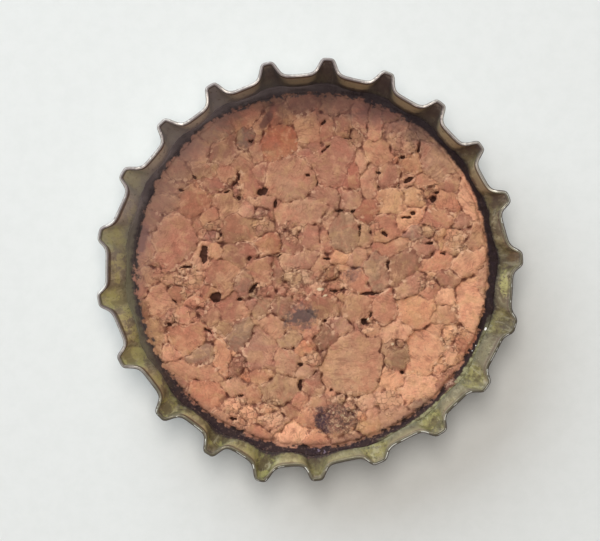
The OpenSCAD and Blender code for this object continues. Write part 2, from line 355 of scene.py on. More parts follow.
class CapColours(bpy.types.PropertyGroup):
    """Colours of the metal, the lacquer and the dirt."""

    lacquer: colour_choice("Lacquer", "Lacquer inside the shell", (136, 130, 88))
    lacquer_pale: colour_choice("Worn lacquer", "Lacquer rubbed thin", (182, 174, 132))
    lacquer_dark: colour_choice("Stained lacquer", "Lacquer with grime in it", (74, 66, 50))
    bare: colour_choice("Bare metal", "Tinplate with the lacquer gone", (206, 198, 190))
    tarnish: colour_choice("Tarnish", "Tarnish on the cut edge", (122, 106, 106))
    outside: colour_choice("Outside", "Plain tinplate outside", (168, 167, 160))
    residue: colour_choice("Residue", "Dirt between cork and wall", (76, 56, 50))
    # Painted shade for the bottom of the gaps in the cork
    crevice: colour_choice("Crevice", "Bottom of the gaps in the cork", (66, 36, 30))
    seam: colour_choice("Seam", "Edges of the granules", (98, 54, 45))


class CapStage(bpy.types.PropertyGroup):
    """Floor, lamps and camera."""

    camera_height: length("Camera height", "Height of the camera over the cork", 345 * MM)
    lens: plain_number("Lens", "Focal length in mm", 278.5)
    aim_x: length("Aim across", "How far left of the cap the camera looks", 0.85 * MM)
    aim_y: length("Aim along", "How far in front of the cap the camera looks", 0.08 * MM)
    top_power: plain_number("Top lamp", "Power in watts", 1.93)
    top_way: lamp_place("Top lamp's place", (98, 82, 600, 212, 390))
    side_power: plain_number("Side lamp", "Power in watts", 2.45)
    side_way: lamp_place("Side lamp's place", (126, 32, 500, 625, 530))
    sky: plain_number("Sky", "Strength of the even light", 0.165)
    floor: colour_choice("Floor", "Colour of the floor", (232, 231, 230))


# ---------------------------------------------------------------- shader maths


class Value:
    """A socket in a material's nodes. Sums can be written on one that gives a number."""

    def __init__(self, paint, socket):
        self.paint = paint
        self.socket = socket

    def math(self, operation, first, second):
        return self.paint.add("ShaderNodeMath", {"operation": operation}, {0: first, 1: second})

    def __add__(self, other):
        return self.math("ADD", self, other)

    def __sub__(self, other):
        return self.math("SUBTRACT", self, other)

    def __mul__(self, other):
        return self.math("MULTIPLY", self, other)

    def __truediv__(self, other):
        return self.math("DIVIDE", self, other)

    def __pow__(self, other):
        return self.math("POWER", self, other)

    def __rsub__(self, other):
        return self.math("SUBTRACT", other, self)

    def __rtruediv__(self, other):
        return self.math("DIVIDE", other, self)

    def __neg__(self):
        return 0 - self

    __radd__ = __add__
    __rmul__ = __mul__

    def over(self, low, high):
        """0 below low, 1 above high and smooth between them."""
        settings = {"interpolation_type": "SMOOTHSTEP", "clamp": True}
        return self.paint.add("ShaderNodeMapRange", settings, {0: self, 1: low, 2: high})

    def most(self, other):
        """The larger of this and another number."""
        return self.math("MAXIMUM", self, other)

    def least(self, other):
        """The smaller of this and another number."""
        return self.math("MINIMUM", self, other)

    def swing(self, amount):
        """Noise from 0 to 1, made to swing evenly about 0 over this range."""
        return (self - 0.5) * amount


class Paint:
    """The nodes of one material, or of the sky."""

    def __init__(self, owner):
        self.owner = owner
        self.owner.use_nodes = True
        self.tree = owner.node_tree
        self.tree.nodes.clear()
        self.clouds = {}

    def node(self, kind, settings, inputs):
        """Adds a node: its settings first, then the values or links of its sockets."""
        node = self.tree.nodes.new(kind)
        for name, value in settings.items():
            setattr(node, name, value)
        for name, value in inputs.items():
            if isinstance(value, Value):
                self.tree.links.new(value.socket, node.inputs[name])
            else:
                node.inputs[name].default_value = value
        return node

    def add(self, kind, settings=None, inputs=None, output=0):
        """Adds a node and gives the value at one of its outputs."""
        return Value(self, self.node(kind, settings or {}, inputs or {}).outputs[output])

    def vector_math(self, operation, inputs):
        return self.add("ShaderNodeVectorMath", {"operation": operation}, inputs)

    def millimetres(self):
        """Object coordinates in millimetres."""
        place = self.add("ShaderNodeTexCoord", output=3)
        return self.vector_math("SCALE", {0: place, 3: 1 / MM})

    def parts(self, vector):
        """The x, y and z of a vector."""
        node = self.node("ShaderNodeSeparateXYZ", {}, {0: vector})
        return tuple(Value(self, output) for output in node.outputs)

    def stretched(self, vector, scale):
        """A place whose axes are drawn out or squeezed, for noise that runs one way."""
        return self.add("ShaderNodeMapping", {}, {0: vector, 3: scale})

    def cloud(self, vector, scale, detail, rough=0.55, warp=0):
        """Even noise from 0 to 1. Noise that is asked for again is the same node."""
        key = (vector, scale, detail, rough, warp)
        if key not in self.clouds:
            inputs = {"Vector": vector, "Scale": scale, "Detail": detail,
                      "Roughness": rough, "Distortion": warp}
            self.clouds[key] = self.add("ShaderNodeTexNoise", {}, inputs)
        return self.clouds[key]

    def cells(self, vector, scale, feature="F1", output=0, metric="EUCLIDEAN"):
        """Distance to the nearest of scattered points, or (1) a colour for each."""
        settings = {"feature": feature, "distance": metric}
        inputs = {"Vector": vector, "Scale": scale}
        return self.add("ShaderNodeTexVoronoi", settings, inputs, output)

    def chips(self, vector, scale):
        """Angular chips: a number for each, and how far a place lies from its edges."""
        near = self.cells(vector, scale, metric="CHEBYCHEV")
        second = self.cells(vector, scale, "F2", metric="CHEBYCHEV")
        number = self.parts(self.cells(vector, scale, output=1, metric="CHEBYCHEV"))[0]
        return number, second - near

    def wavy(self, vector, scale, amount):
        """The same place, moved a little by noise, so that what is drawn there bends."""
        wave = self.add("ShaderNodeTexNoise", {}, {"Vector": vector, "Scale": scale}, 1)
        middle = self.vector_math("SUBTRACT", {0: wave, 1: (0.5, 0.5, 0.5)})
        move = self.vector_math("SCALE", {0: middle, 3: amount})
        return self.vector_math("ADD", {0: vector, 1: move})

    def spot(self, place, middle, half_size, turn, ragged):
        """A mask that is 1 inside a ragged oval, seen from above, and fades out past it."""
        moved = self.vector_math("SUBTRACT", {0: place, 1: (*middle, 0)})
        inputs = {"Vector": moved, "Angle": -math.radians(turn)}
        turned = self.add("ShaderNodeVectorRotate", {"rotation_type": "Z_AXIS"}, inputs)
        across, along, _ = self.parts(turned)
        far = ((across / half_size[0]) ** 2 + (along / half_size[1]) ** 2) ** 0.5
        rough = self.cloud(place, 2.2, 4, 0.6)
        return 1 - (far + rough.swing(4 * ragged)).over(0.65, 1.15)

    def mix(self, share, first, second, blend="MIX"):
        """Mixes two colours."""
        settings = {"data_type": "RGBA", "blend_type": blend, "clamp_factor": True}
        inputs = {0: share, 6: opaque(first), 7: opaque(second)}
        return self.add("ShaderNodeMix", settings, inputs, 2)

    def attribute(self, name, output="Fac"):
        """What is stored on the piece's points under this name."""
        return self.add("ShaderNodeAttribute", {"attribute_name": name}, {}, output)

    def bump(self, height, distance, strength):
        """Fine relief for the Normal socket."""
        inputs = {"Strength": strength, "Distance": distance, "Height": height}
        return self.add("ShaderNodeBump", {}, inputs)

    def finish(self, **sockets):
        """Ends the material in one Principled shader with these sockets."""
        inputs = {name.replace("_", " "): value for name, value in sockets.items()}
        shader = self.add("ShaderNodeBsdfPrincipled", {}, inputs)
        self.node("ShaderNodeOutputMaterial", {}, {0: shader})
        return self.owner


class Coat:
    """The colour of a surface, which is laid on in layers."""

    def __init__(self, paint, colour):
        self.paint = paint
        self.colour = colour

    def lay(self, share, *colour):
        """Covers a share of the surface, with an 8-bit sRGB colour or a ready one."""
        top = srgb(*colour) if len(colour) == 3 else colour[0]
        self.colour = self.paint.mix(share, self.colour, top)

    def tint(self, colour):
        """Multiplies the surface's colour by another."""
        self.colour = self.paint.mix(1, self.colour, colour, "MULTIPLY")

    def tone(self, light):
        """Makes the surface lighter or darker."""
        self.tint(self.paint.add("ShaderNodeCombineColor", {}, {0: light, 1: light, 2: light}))


def opaque(colour):
    """A colour with its alpha, as sockets take it."""
    return colour if isinstance(colour, Value) else (*colour, 1)


def new_paint(name):
    """A new material, with nothing in it yet."""
    return Paint(bpy.data.materials.new(name))


# ---------------------------------------------------------------- materials


def cork_paint(colours):
    """Pressed cork: each granule's tint, mottled and streaked, with dark seams and dirt, and
    painted light and shade.
    """
    paint = new_paint("pressed_cork")
    place = paint.millimetres()
    x, y, _ = paint.parts(place)
    out = (x * x + y * y) ** 0.5
    grain = paint.attribute("grain", "Vector")
    seam = paint.attribute("seam")
    opened = paint.attribute("open")
    coat = Coat(paint, paint.attribute("tint", "Color"))

    # Painted light and shade: darker behind on the left, paler in front on the right
    painted_light_slant = ((x - y) * DIAGONAL).over(-12, 12)
    coat.tint(paint.mix(painted_light_slant, (0.905, 0.87, 0.885), (1.115, 1.11, 1.085)))

    streaks = paint.cloud(paint.stretched(grain, (1.1, 4.6, 1)), 1.0, 3, 0.65, 0.5)
    mottle = paint.cloud(place, 1.3, 3, 0.6, 0.5)
    blotch = paint.cloud(place, 1.0, 3, 0.5, 0.9)
    fine = paint.cloud(place, 6.5, 3, 0.75)
    grit = paint.cloud(place, 2.9, 4, 0.75)
    fade = paint.attribute("fade") + mottle.swing(0.6)
    coat.lay(fade.over(-0.1, 0.9) * 0.34, 214, 164, 124)
    coat.lay((-fade).over(-0.1, 0.9) * 0.34, 158, 98, 80)
    coat.lay(streaks.over(0.46, 0.72) * 0.3, 146, 92, 72)
    coat.lay(blotch.over(0.5, 0.66) * 0.34, 190, 148, 104)
    coat.lay((1 - blotch).over(0.5, 0.66) * 0.3, 190, 112, 92)
    coat.lay(mottle.over(0.5, 0.7) * 0.36, 222, 168, 132)
    coat.lay((1 - mottle).over(0.5, 0.7) * 0.36, 148, 98, 78)

    # Fine creases within the granules
    fold = paint.cloud(paint.stretched(grain, (0.8, 2.2, 1)), 1.0, 2, 0.5, 0.8) - 0.5
    crease = 1 - (fold * fold * 500).over(0.1, 1)
    patch = paint.cloud(place, 0.7, 3)
    coat.lay(crease * patch.over(0.48, 0.58) * 0.36, 124, 76, 60)

    # Small flakes pressed together in the crumbly places
    crumbly = (paint.attribute("crumbs") + mottle.swing(1.2)).over(0.35, 0.6)
    flake, flake_edge = paint.chips(paint.wavy(place, 2.0, 0.22), 2.5)
    coat.tone(1 + (flake - 0.5) * crumbly * 0.3)
    flake_line = (1 - (flake_edge + fine.swing(0.3)).over(0.02, 0.16)) * grit.over(0.44, 0.56)
    coat.lay(flake_line * crumbly * 0.52, 116, 68, 54)
    coat.lay(crumbly * flake.over(0.8, 0.86) * 0.4, 224, 178, 144)
    coat.tone(0.51 + fine * 0.66 + grit * 0.38)

    pores = paint.cells(place, 3.4)
    open_pores = (1 - pores.over(0.06, 0.17)) * paint.cloud(place, 1.1, 2).over(0.48, 0.6)
    coat.lay(open_pores * 0.55, 96, 56, 44)
    film = paint.cloud(place, 0.3, 3, 0.6).over(0.5, 0.72)
    coat.lay(film * 0.2, 160, 134, 110)

    # Seams: a broken line, dark and pale crumbs beside it, a painted highlight along some, and
    # painted shade where it is deep
    jitter = paint.cloud(place, 5.0, 3, 0.7).swing(0.16)
    line = 1 - (seam + jitter).over(0.01 + opened * 0.03, 0.06 + opened * 0.09)
    coat.lay(line * (0.34 + opened * 0.6), colours.seam)
    beside = 1 - (seam + jitter).over(0.1, 0.35)
    crumb_place = paint.cloud(place, 0.6, 3, 0.6).over(0.44, 0.6)
    crumb = paint.parts(paint.cells(paint.wavy(place, 3, 0.2), 4.2, output=1))[0]
    coat.lay(beside * crumb_place * (1 - crumb.over(0.22, 0.28)) * 0.6, 118, 70, 56)
    inner = 1 - out.over(12.2, 12.7)
    coat.lay(beside * crumb_place * crumb.over(0.8, 0.85) * inner * 0.6, 228, 180, 148)
    # A painted highlight along one side of some seams
    lit_edge = (seam + jitter * 0.5).over(0.03, 0.07) * (1 - seam.over(0.09, 0.16))
    lit_edge = lit_edge * paint.cloud(place, 1.3, 3).over(0.54, 0.6)
    coat.lay(lit_edge * 0.3, 232, 184, 150)
    pale_crumbs = paint.cloud(place, 4.4, 3, 0.7, 0.3).over(0.62, 0.68)
    # Painted shade: the bottoms of the gaps darkened where they are deep
    deep = (paint.attribute("crevice") + fine.swing(0.12)).over(0.1, 0.3)
    coat.lay(deep * 0.92, colours.crevice)

    smear = paint.spot(place, (-0.75, -3.5), (1.35, 1.0), 12, 0.55)
    smear_core = paint.spot(place, (-0.65, -3.45), (0.85, 0.58), 12, 0.65)
    smudged = smear * (0.3 + grit.over(0.35, 0.6) * 0.45) + smear_core * 0.45
    coat.lay(smudged.least(0.85), 80, 68, 70)
    bruise = paint.spot(place, (3.1, -0.35), (0.75, 0.7), 60, 0.5)
    coat.lay(bruise * (0.2 + grit.over(0.4, 0.6) * 0.45), 108, 82, 78)
    for *oval, share, rgb in CORK_STAINS.values():
        coat.lay(paint.spot(place, *oval) * share, *rgb)
    soot = paint.spot(place, (1.9, -11.1), (1.8, 1.1), 10, 0.45)
    soot_grain = paint.cloud(place, 4.6, 4, 0.75)
    coat.lay(soot * 0.36, 118, 88, 80)
    coat.lay(soot * soot_grain.over(0.46, 0.58) * 0.66, 70, 52, 52)
    coat.lay(soot * (1 - soot_grain).over(0.56, 0.64) * 0.6, 220, 198, 160)
    soot_core = paint.spot(place, (0.75, -11.2), (0.6, 0.95), 10, 0.45)
    coat.lay(soot_core * (0.62 + soot_grain.over(0.4, 0.55) * 0.24), 68, 48, 56)
    for fleck in WHITE_FLECKS:
        coat.lay(paint.spot(place, *fleck, 0.4) * 0.85, 240, 214, 178)

    # Along the far side a damp stain with the far wall's painted shade; painted shadow of the
    # tooth hollows and painted shade at the disc's edge; the residue all round
    ragged = paint.cloud(place, 1.0, 4, 0.65)
    # A damp stain, darkened further as painted shade of the far wall
    damp_and_wall_shade = (y * 0.78 + x * 0.1 + out * 0.4 + ragged.swing(3.2)).over(12.2, 14.6)
    coat.lay(damp_and_wall_shade * 0.6, 96, 70, 72)
    hollow = paint.attribute("hollow")
    # Painted shadow of the tooth hollows on the far edge of the disc
    painted_hollow_shadow = hollow * (y - x * 0.2).over(5, 11) * (out + ragged.swing(1.4)).over(11.9, 13.0)
    coat.lay(painted_hollow_shadow * 0.5, 74, 54, 56)
    broken = paint.cloud(place, 2.4, 2, 0.5)
    clear = (x * 0.9 + y * 0.35).over(9.5, 12)
    # Painted shade at the disc's edge, strongest in front and least on the right
    shade = (out + ragged.swing(0.8) + grit.swing(0.8)).over(12.5, 13.1)
    front_left = (-x * 0.6 - y * 0.8).over(8, 12)
    front_edge = (-y).over(5, 11)
    coat.lay(shade * (0.3 + front_edge * 0.25 - clear * 0.25), 128, 92, 80)
    left_edge = (y * 0.5 - x).over(10.5, 13.5)
    coat.lay(left_edge * out.over(9.5, 13) * 0.46, 164, 130, 122)
    crisp = ((x + y) * DIAGONAL).over(10.5, 12.5)
    start = out - clear * 0.13 - (-y).over(11.5, 12.8) * 0.16 - left_edge * y.over(4, 9) * 0.2
    start = start - crisp * 0.15 - front_left * 0.08 - ((x - y) * DIAGONAL).over(10.5, 12.5) * 0.1
    uneven = (ragged + broken - 1) * (1.1 - clear * 0.75)
    edge = (start + uneven).over(12.9, 13.14).most(out.over(13.3, 13.42))
    grime = residue_colour(paint, colours, place, pale_crumbs, hollow)
    coat.lay(edge * 0.99, grime)

    pock = paint.cloud(place, 3.0, 4, 0.65)
    flakes = (flake * 0.3 - flake_line * 0.35) * crumbly
    bump = paint.bump(pock * 0.5 + grit * 0.35 + fine * 0.3 + flakes, 0.15 * MM, 0.85)
    rough = 0.82 + fine * 0.15
    return paint.finish(
        Base_Color=coat.colour, Roughness=rough, Normal=bump, Specular_IOR_Level=0.25
    )


def residue_colour(paint, colours, place, crumbs, hollow):
    """Dirt and old glue: brown, near black on the right, grey on the left and behind, with painted
    shade under the tooth hollows behind and a painted highlight on a crumb.
    """
    x, y, _ = paint.parts(place)
    out = (x * x + y * y) ** 0.5
    broken = paint.cloud(place, 2.1, 4, 0.7)
    patch = paint.cloud(place, 0.5, 3, 0.6)
    right = (x * 0.9 + y * 0.35 + patch.swing(7)).over(2, 10)
    left = (y * 0.5 - x * 0.8 + patch.swing(6)).over(3, 11)
    front = (-y + patch.swing(6)).over(5, 11)
    back = (y - x * 0.35 + patch.swing(4)).over(4, 11)
    coat = Coat(paint, colours.residue)
    coat.lay(right * 0.92, 27, 15, 18)
    coat.lay(left * 0.85, 86, 76, 74)
    coat.lay(back * 0.4, 92, 82, 86)
    coat.lay(front * (1 - right) * 0.8, 46, 32, 34)
    coat.lay(broken.over(0.48, 0.58) * (0.7 - left * 0.5), 40, 27, 34)
    dusty = paint.cloud(place, 3.3, 3, 0.7).over(0.56, 0.64)
    coat.lay(dusty * (0.4 - right * 0.32 - left * 0.2).most(0.05), 124, 96, 86)
    coat.lay(crumbs * (1 - right * 0.85) * (1 - left * 0.6) * 0.4, 160, 122, 106)
    # A crack runs round where the cork ends
    off_crack = out - 13.14 + broken.swing(0.3)
    crack = 1 - (off_crack * off_crack * 400).over(0.2, 1.6)
    coat.lay(crack * (0.6 - right * 0.3), 44, 31, 31)
    wall_foot = (out + broken.swing(0.8)).over(13.2, 13.6)
    coat.lay((1 - wall_foot) * left * 0.5, 60, 52, 55)
    foot_film = paint.mix(back, srgb(124, 117, 94), srgb(142, 128, 130))
    coat.lay(wall_foot * left * (0.85 - back * 0.2), foot_film)
    # Painted shade under the tooth hollows behind
    coat.lay(hollow * back * 0.55, 56, 46, 50)
    purple = paint.spot(place, (0.35, -13.5), (0.8, 0.35), 0, 0.5) * dusty
    coat.lay(purple * 0.7, 126, 110, 130)
    clean = ((x - y) * DIAGONAL + patch.swing(2.4)).over(11.8, 13)
    clean = clean * (out + broken.swing(0.36)).over(13.48, 13.6)
    mottled = paint.mix(broken.over(0.42, 0.58), srgb(112, 104, 74), srgb(162, 156, 118))
    coat.lay(clean * 0.8, mottled)
    crumb = paint.spot(place, CRUMB_PLACE, (0.56, 0.32), 38, 0.7)
    coat.lay(crumb * 0.85, 124, 86, 70)
    crumb_x, crumb_y = CRUMB_PLACE
    # Painted highlight on the crumb's side towards the lamps
    crumb_highlight = paint.spot(place, (crumb_x - 0.08, crumb_y + 0.12), (0.5, 0.2), 38, 0.7)
    coat.lay(crumb_highlight * 0.6, 204, 160, 138)
    ridges = paint.cloud(place, 5.5, 3, 0.7).over(0.5, 0.56)
    coat.lay(crumb * ridges * 0.8, 84, 50, 42)
    for fleck in RING_FLECKS:
        coat.lay(paint.spot(place, *fleck, 0.4) * 0.95, 244, 238, 232)
    return coat.colour


def lacquer_paint(colours):
    """Olive lacquer inside the shell, stained and rubbed thin, with painted shade making it
    darkest on the far side, and painted light and sheen.
    """
    paint = new_paint("worn_lacquer")
    place = paint.millimetres()
    x, y, z = paint.parts(place)
    out = (x * x + y * y) ** 0.5
    valley = paint.attribute("valley")
    up = paint.attribute("up")
    land = 1 - valley.over(0.15, 0.55)
    # The marks run down the wall, so the noise is drawn out in height
    drawn = paint.stretched(place, (1, 1, 0.3))
    blotch = paint.cloud(drawn, 0.9, 4, 0.62, 0.6)
    patch = paint.cloud(place, 0.42, 3)
    fine = paint.cloud(drawn, 4.5, 4, 0.65, 0.3)
    round_wall = paint.add("ShaderNodeCombineXYZ", {}, {0: x / out * 9, 1: y / out * 9, 2: up * 4})
    streaks = paint.cloud(paint.stretched(round_wall, (3.6, 3.6, 0.5)), 1.0, 4, 0.65, 0.4)
    smudge = paint.cloud(paint.stretched(round_wall, (1.2, 1.2, 0.5)), 1.0, 4, 0.65, 0.8)

    # Sides of the cap, each from 0 to 1
    far = (y + patch.swing(9)).over(2, 11)
    back = (y - x * 0.35 + patch.swing(4)).over(4, 11)
    front = (-y - x * 0.2 + patch.swing(3)).over(6, 10)
    near_right = ((x - y) * DIAGONAL + patch.swing(7)).over(2, 11)
    dent = ((x - y) * DIAGONAL + patch.swing(2)).over(11.4, 12.8)
    left = (-x * 0.9 + y * 0.35 + patch.swing(6)).over(3, 12)
    left_end = (-x + patch.swing(3)).over(9, 12.5)
    right_end = (x + y * 0.15 + patch.swing(3)).over(9.5, 12.5)
    shaded = (x * 0.85 + y * 0.5 + patch.swing(5)).over(3, 13)

    coat = Coat(paint, colours.lacquer)
    coat.lay(patch.over(0.46, 0.58), 134, 130, 106)
    coat.lay(blotch.over(0.46, 0.66) * 0.6, colours.lacquer_pale)
    green = paint.cloud(drawn, 0.65, 3, 0.6, 0.4)
    coat.lay(green.over(0.52, 0.64) * 0.5 * (1 - near_right * 0.6), 94, 98, 70)
    coat.lay(near_right * land * 0.8, 134, 134, 114)
    mottled = (blotch * 0.5 + fine * 0.5).over(0.42, 0.56)
    yellow = (1 - land * 0.8) * (near_right * 0.55 + 0.35) * (1 - far)
    yellow = yellow * (1 - front * (1 - dent) * 0.7)
    coat.lay(yellow * mottled * 0.8, 176, 170, 108)
    green_spots = paint.cloud(drawn, 1.7, 3, 0.65).over(0.54, 0.62)
    coat.lay(green_spots * (1 - land * 0.6) * 0.6, 98, 98, 62)
    coat.lay(smudge.over(0.52, 0.6) * (0.55 - dent * 0.3), 92, 78, 68)
    coat.lay((1 - smudge).over(0.53, 0.61) * (0.55 - dent * 0.2), 178, 172, 122)
    stain = (1 - blotch).over(0.52, 0.66) * fine.over(0.35, 0.6)
    coat.lay(stain * (1 - near_right * 0.5) * 0.55, colours.lacquer_dark)

    # In front the lands are pale and the hollows dark
    coat.lay(front * (1 - dent) * land * 0.5, 190, 184, 134)
    coat.lay(front * (1 - dent) * valley * 0.6, 98, 90, 56)
    coat.lay(dent * land * 0.5, 146, 142, 120)
    # On the left, yellow-green blobs with brown between them
    blob = paint.cloud(drawn, 1.3, 3, 0.6, 0.4)
    coat.lay(left_end * blob.over(0.51, 0.57) * 0.75, 178, 178, 106)
    coat.lay(left_end * (1 - blob).over(0.52, 0.58) * 0.55, 92, 82, 72)
    # At the front left, the same blobs with dark olive between them
    front_left = ((-x - y) * DIAGONAL + patch.swing(3)).over(9, 12)
    coat.lay(front_left * blob.over(0.51, 0.57) * 0.5, 184, 182, 112)
    coat.lay(front_left * (1 - blob).over(0.52, 0.58) * 0.5, 86, 78, 54)
    # On the right, one land paler and yellow-green, and one tooth browned
    bright_land = paint.spot(place, (14.25, -1.1), (0.36, 1.0), 0, 0.4)
    coat.lay(bright_land * fine.over(0.4, 0.5) * 0.9, 212, 212, 142)
    browned = paint.spot(place, (14.9, 0.9), (0.45, 0.45), 0, 0.4)
    coat.lay(browned * 0.6, 138, 102, 60)
    coat.tone(0.7 + fine * 0.34 + blotch * 0.3)

    # Dark streaks, deepened by painted shade on the shaded side
    coat.lay(streaks.over(0.54, 0.64) * (0.25 + shaded * 0.3), 72, 62, 50)
    # Pale streaks of painted sheen, strongest on the right
    sheen_streaks = (1 - streaks).over(0.54, 0.6)
    coat.lay(sheen_streaks * (0.4 + right_end * 0.2), 204, 199, 166)
    # Painted light: a pale wash on the left, where the walls face away from the lamps
    coat.lay(left * 0.32, 174, 166, 156)
    # Painted shade on the shaded side, on the right and behind it
    coat.lay(shaded * (0.26 - right_end * 0.06), 90, 80, 80)

    # Behind: painted shade in purple-grey, paler and bluer to the left, and a pale band along each
    # land over a foot of painted shade
    coat.lay(back * (0.44 + left * 0.22), paint.mix(left, srgb(100, 92, 104), srgb(144, 148, 156)))
    uneven_up = up + fine.swing(0.1)
    low = 1 - uneven_up.over(0.4, 0.56)
    coat.lay(low * land * far * (0.55 - left * 0.4), 64, 54, 57)
    band = uneven_up.over(0.46, 0.6) * land * far
    coat.lay(band * 0.72, paint.mix(left, srgb(186, 176, 142), srgb(164, 164, 154)))
    specks = (1 - fine).over(0.58, 0.65)
    coat.lay(specks * 0.5, 58, 50, 38)
    # Painted shade in the hollows behind and on the shaded side
    hollow = valley * (far * (0.8 - left * 0.24) + shaded * 0.45 * (1 - far) + 0.05)
    coat.lay(hollow.least(0.9), 60, 52, 56)
    grey_foot = left * back * (1 - uneven_up.over(0.2, 0.6))
    coat.lay(grey_foot * 0.5, 132, 120, 124)
    olive = valley * left * (1 - far)
    coat.lay(olive * 0.5, 140, 138, 80)
    # Painted light: lighter on the left, most behind, and on the diagonals, whose walls the lamps
    # light little
    painted_light_left_back = (y * 0.4 - x).over(8, 13) * (0.5 + back * 0.4)
    painted_light_diagonals = ((x + y) * DIAGONAL).over(9, 13) * 0.24 + ((-x - y) * DIAGONAL).over(9, 13) * 0.1
    coat.tone(1 + painted_light_left_back + painted_light_diagonals)

    rubbed = front * land * (up + fine.swing(0.2)).over(0.6, 0.9)
    coat.lay(rubbed * 0.3, 212, 202, 154)
    rim_wear = (up + fine.swing(0.5)).over(0.8, 1.0) * blotch.over(0.42, 0.6)
    coat.lay(rim_wear * 0.35, colours.bare)
    rim_line = (up + land * 0.05).over(0.94, 0.975)
    coat.lay(rim_line * (0.8 - near_right * 0.45), 78, 62, 58)

    # Dirt at the foot of the wall, thinning out upwards
    line = z + blotch.swing(1.5) + fine.swing(0.8) + dent * 0.9 + left * (0.3 + back * 0.3)
    line = line - front * (1 - dent) * 0.25
    veil = (1 - line.over(3.0, 4.6)) * (1 - dent) * (1 - left_end * 0.7)
    coat.lay(veil * (0.45 - left * back * 0.38), 66, 56, 50)
    dirt = (1 - line.over(3.0, 3.5)) * (1 - left_end * 0.7)
    grime = residue_colour(paint, colours, place, specks, (valley * 2.5).least(1))
    coat.lay(dirt * (0.95 - left * (0.4 + back * 0.3)), grime)
    rough = 0.36 + fine * 0.22 + dirt * 0.3
    metal = (0.2 + rim_wear * 0.4) * (1 - dirt)
    bump = paint.bump(fine * 0.6 + blotch * 0.4, 0.05 * MM, 0.5)
    return paint.finish(Base_Color=coat.colour, Roughness=rough, Metallic=metal, Normal=bump)


def edge_paint(colours):
    """The cut edge, with painted light and shade: bright behind, with a purplish inner side, dark
    in front, and painted highlights and glints.
    """
    paint = new_paint("cut_edge")
    place = paint.millimetres()
    x, y, _ = paint.parts(place)
    across = paint.attribute("across")
    patch = paint.cloud(place, 0.5, 3, 0.6)
    fine = paint.cloud(place, 5.0, 3, 0.6)
    front = (x * 0.5 - y * 0.85 + patch.swing(8)).over(-4, 4)
    right = (x + y * 0.35).over(8, 12)
    dent = ((x - y) * DIAGONAL).over(11.4, 12.8)
    tarnished = (patch * 0.65 + fine * 0.35).over(0.44, 0.56)
    coat = Coat(paint, colours.bare)
    coat.lay(tarnished * 0.6, colours.tarnish)
    # Painted shade: the edge is dark in front
    coat.lay(front * 0.9, 92, 84, 66)
    ragged = fine.swing(0.3)
    # Painted shade along both rounded sides of the edge, purplish inside behind
    outer = (across + ragged).over(0.66, 0.82)
    inner = 1 - (across + ragged).over(0.36, 0.52)
    coat.lay(outer * (0.4 + front * 0.35 + right * 0.15), 72, 58, 58)
    coat.lay(inner * (1 - front) * 0.8, 82, 64, 66)
    coat.lay(inner * front * 0.6, 108, 99, 74)
    # A thin painted highlight along the middle of the edge on the right
    off_middle = across + ragged - 0.56
    painted_highlight_line = 1 - (off_middle * off_middle * 60).over(0.3, 1)
    coat.lay(painted_highlight_line * right * (1 - dent) * 0.55, 198, 188, 176)
    # Where painted glints of reflected light fall along the front edge
    worn = paint.cloud(place, 1.5, 2, 0.5)
    glint = front * 0.9 * (worn + dent * 0.06).over(0.55, 0.6) * painted_highlight_line
    coat.lay(glint, 240, 238, 230)
    rough = 0.3 + tarnished * 0.3
    return paint.finish(
        Base_Color=coat.colour, Roughness=rough, Metallic=0.35 - tarnished * 0.2
    )


def tin_paint(colours):
    """Plain tinplate outside, dulled, with a few scratches and brown specks."""
    paint = new_paint("plain_tinplate")
    place = paint.millimetres()
    haze = paint.cloud(place, 0.35, 4, 0.6, 0.4)
    fine = paint.cloud(place, 5.5, 3, 0.65)
    scratch = paint.cloud(paint.stretched(place, (0.6, 9, 2)), 0.9, 4, 0.7)
    coat = Coat(paint, colours.outside)
    coat.lay(haze.over(0.4, 0.7) * 0.45, 132, 130, 118)
    coat.lay(scratch.over(0.64, 0.7) * 0.35, 206, 206, 200)
    specks = (fine * haze).over(0.38, 0.44)
    coat.lay(specks * 0.7, 104, 72, 48)
    rough = 0.3 + haze * 0.25
    bump = paint.bump(fine, 0.03 * MM, 0.35)
    return paint.finish(Base_Color=coat.colour, Roughness=rough, Metallic=0.45, Normal=bump)


def floor_paint(colour):
    """A pale, slightly mottled paper floor."""
    paint = new_paint("pale_floor")
    place = paint.millimetres()
    tooth = paint.cloud(place, 0.8, 5, 0.7)
    coat = Coat(paint, colour)
    coat.lay(tooth.over(0.35, 0.7) * 0.16, 212, 213, 210)
    return paint.finish(Base_Color=coat.colour, Roughness=0.95, Specular_IOR_Level=0.1)


# ---------------------------------------------------------------- shell


def angle_between(first, second):
    """The difference of two directions in degrees, from -180 to 180."""
    return (first - second + 180) % 360 - 180


def pushed(direction, rows, column):
    """What a table's rows add up to in this direction, each fading out over its spread."""
    return sum(
        row[column] * math.exp(-((angle_between(direction, row[0]) / row[1]) ** 2))
        for row in rows.values()
    )


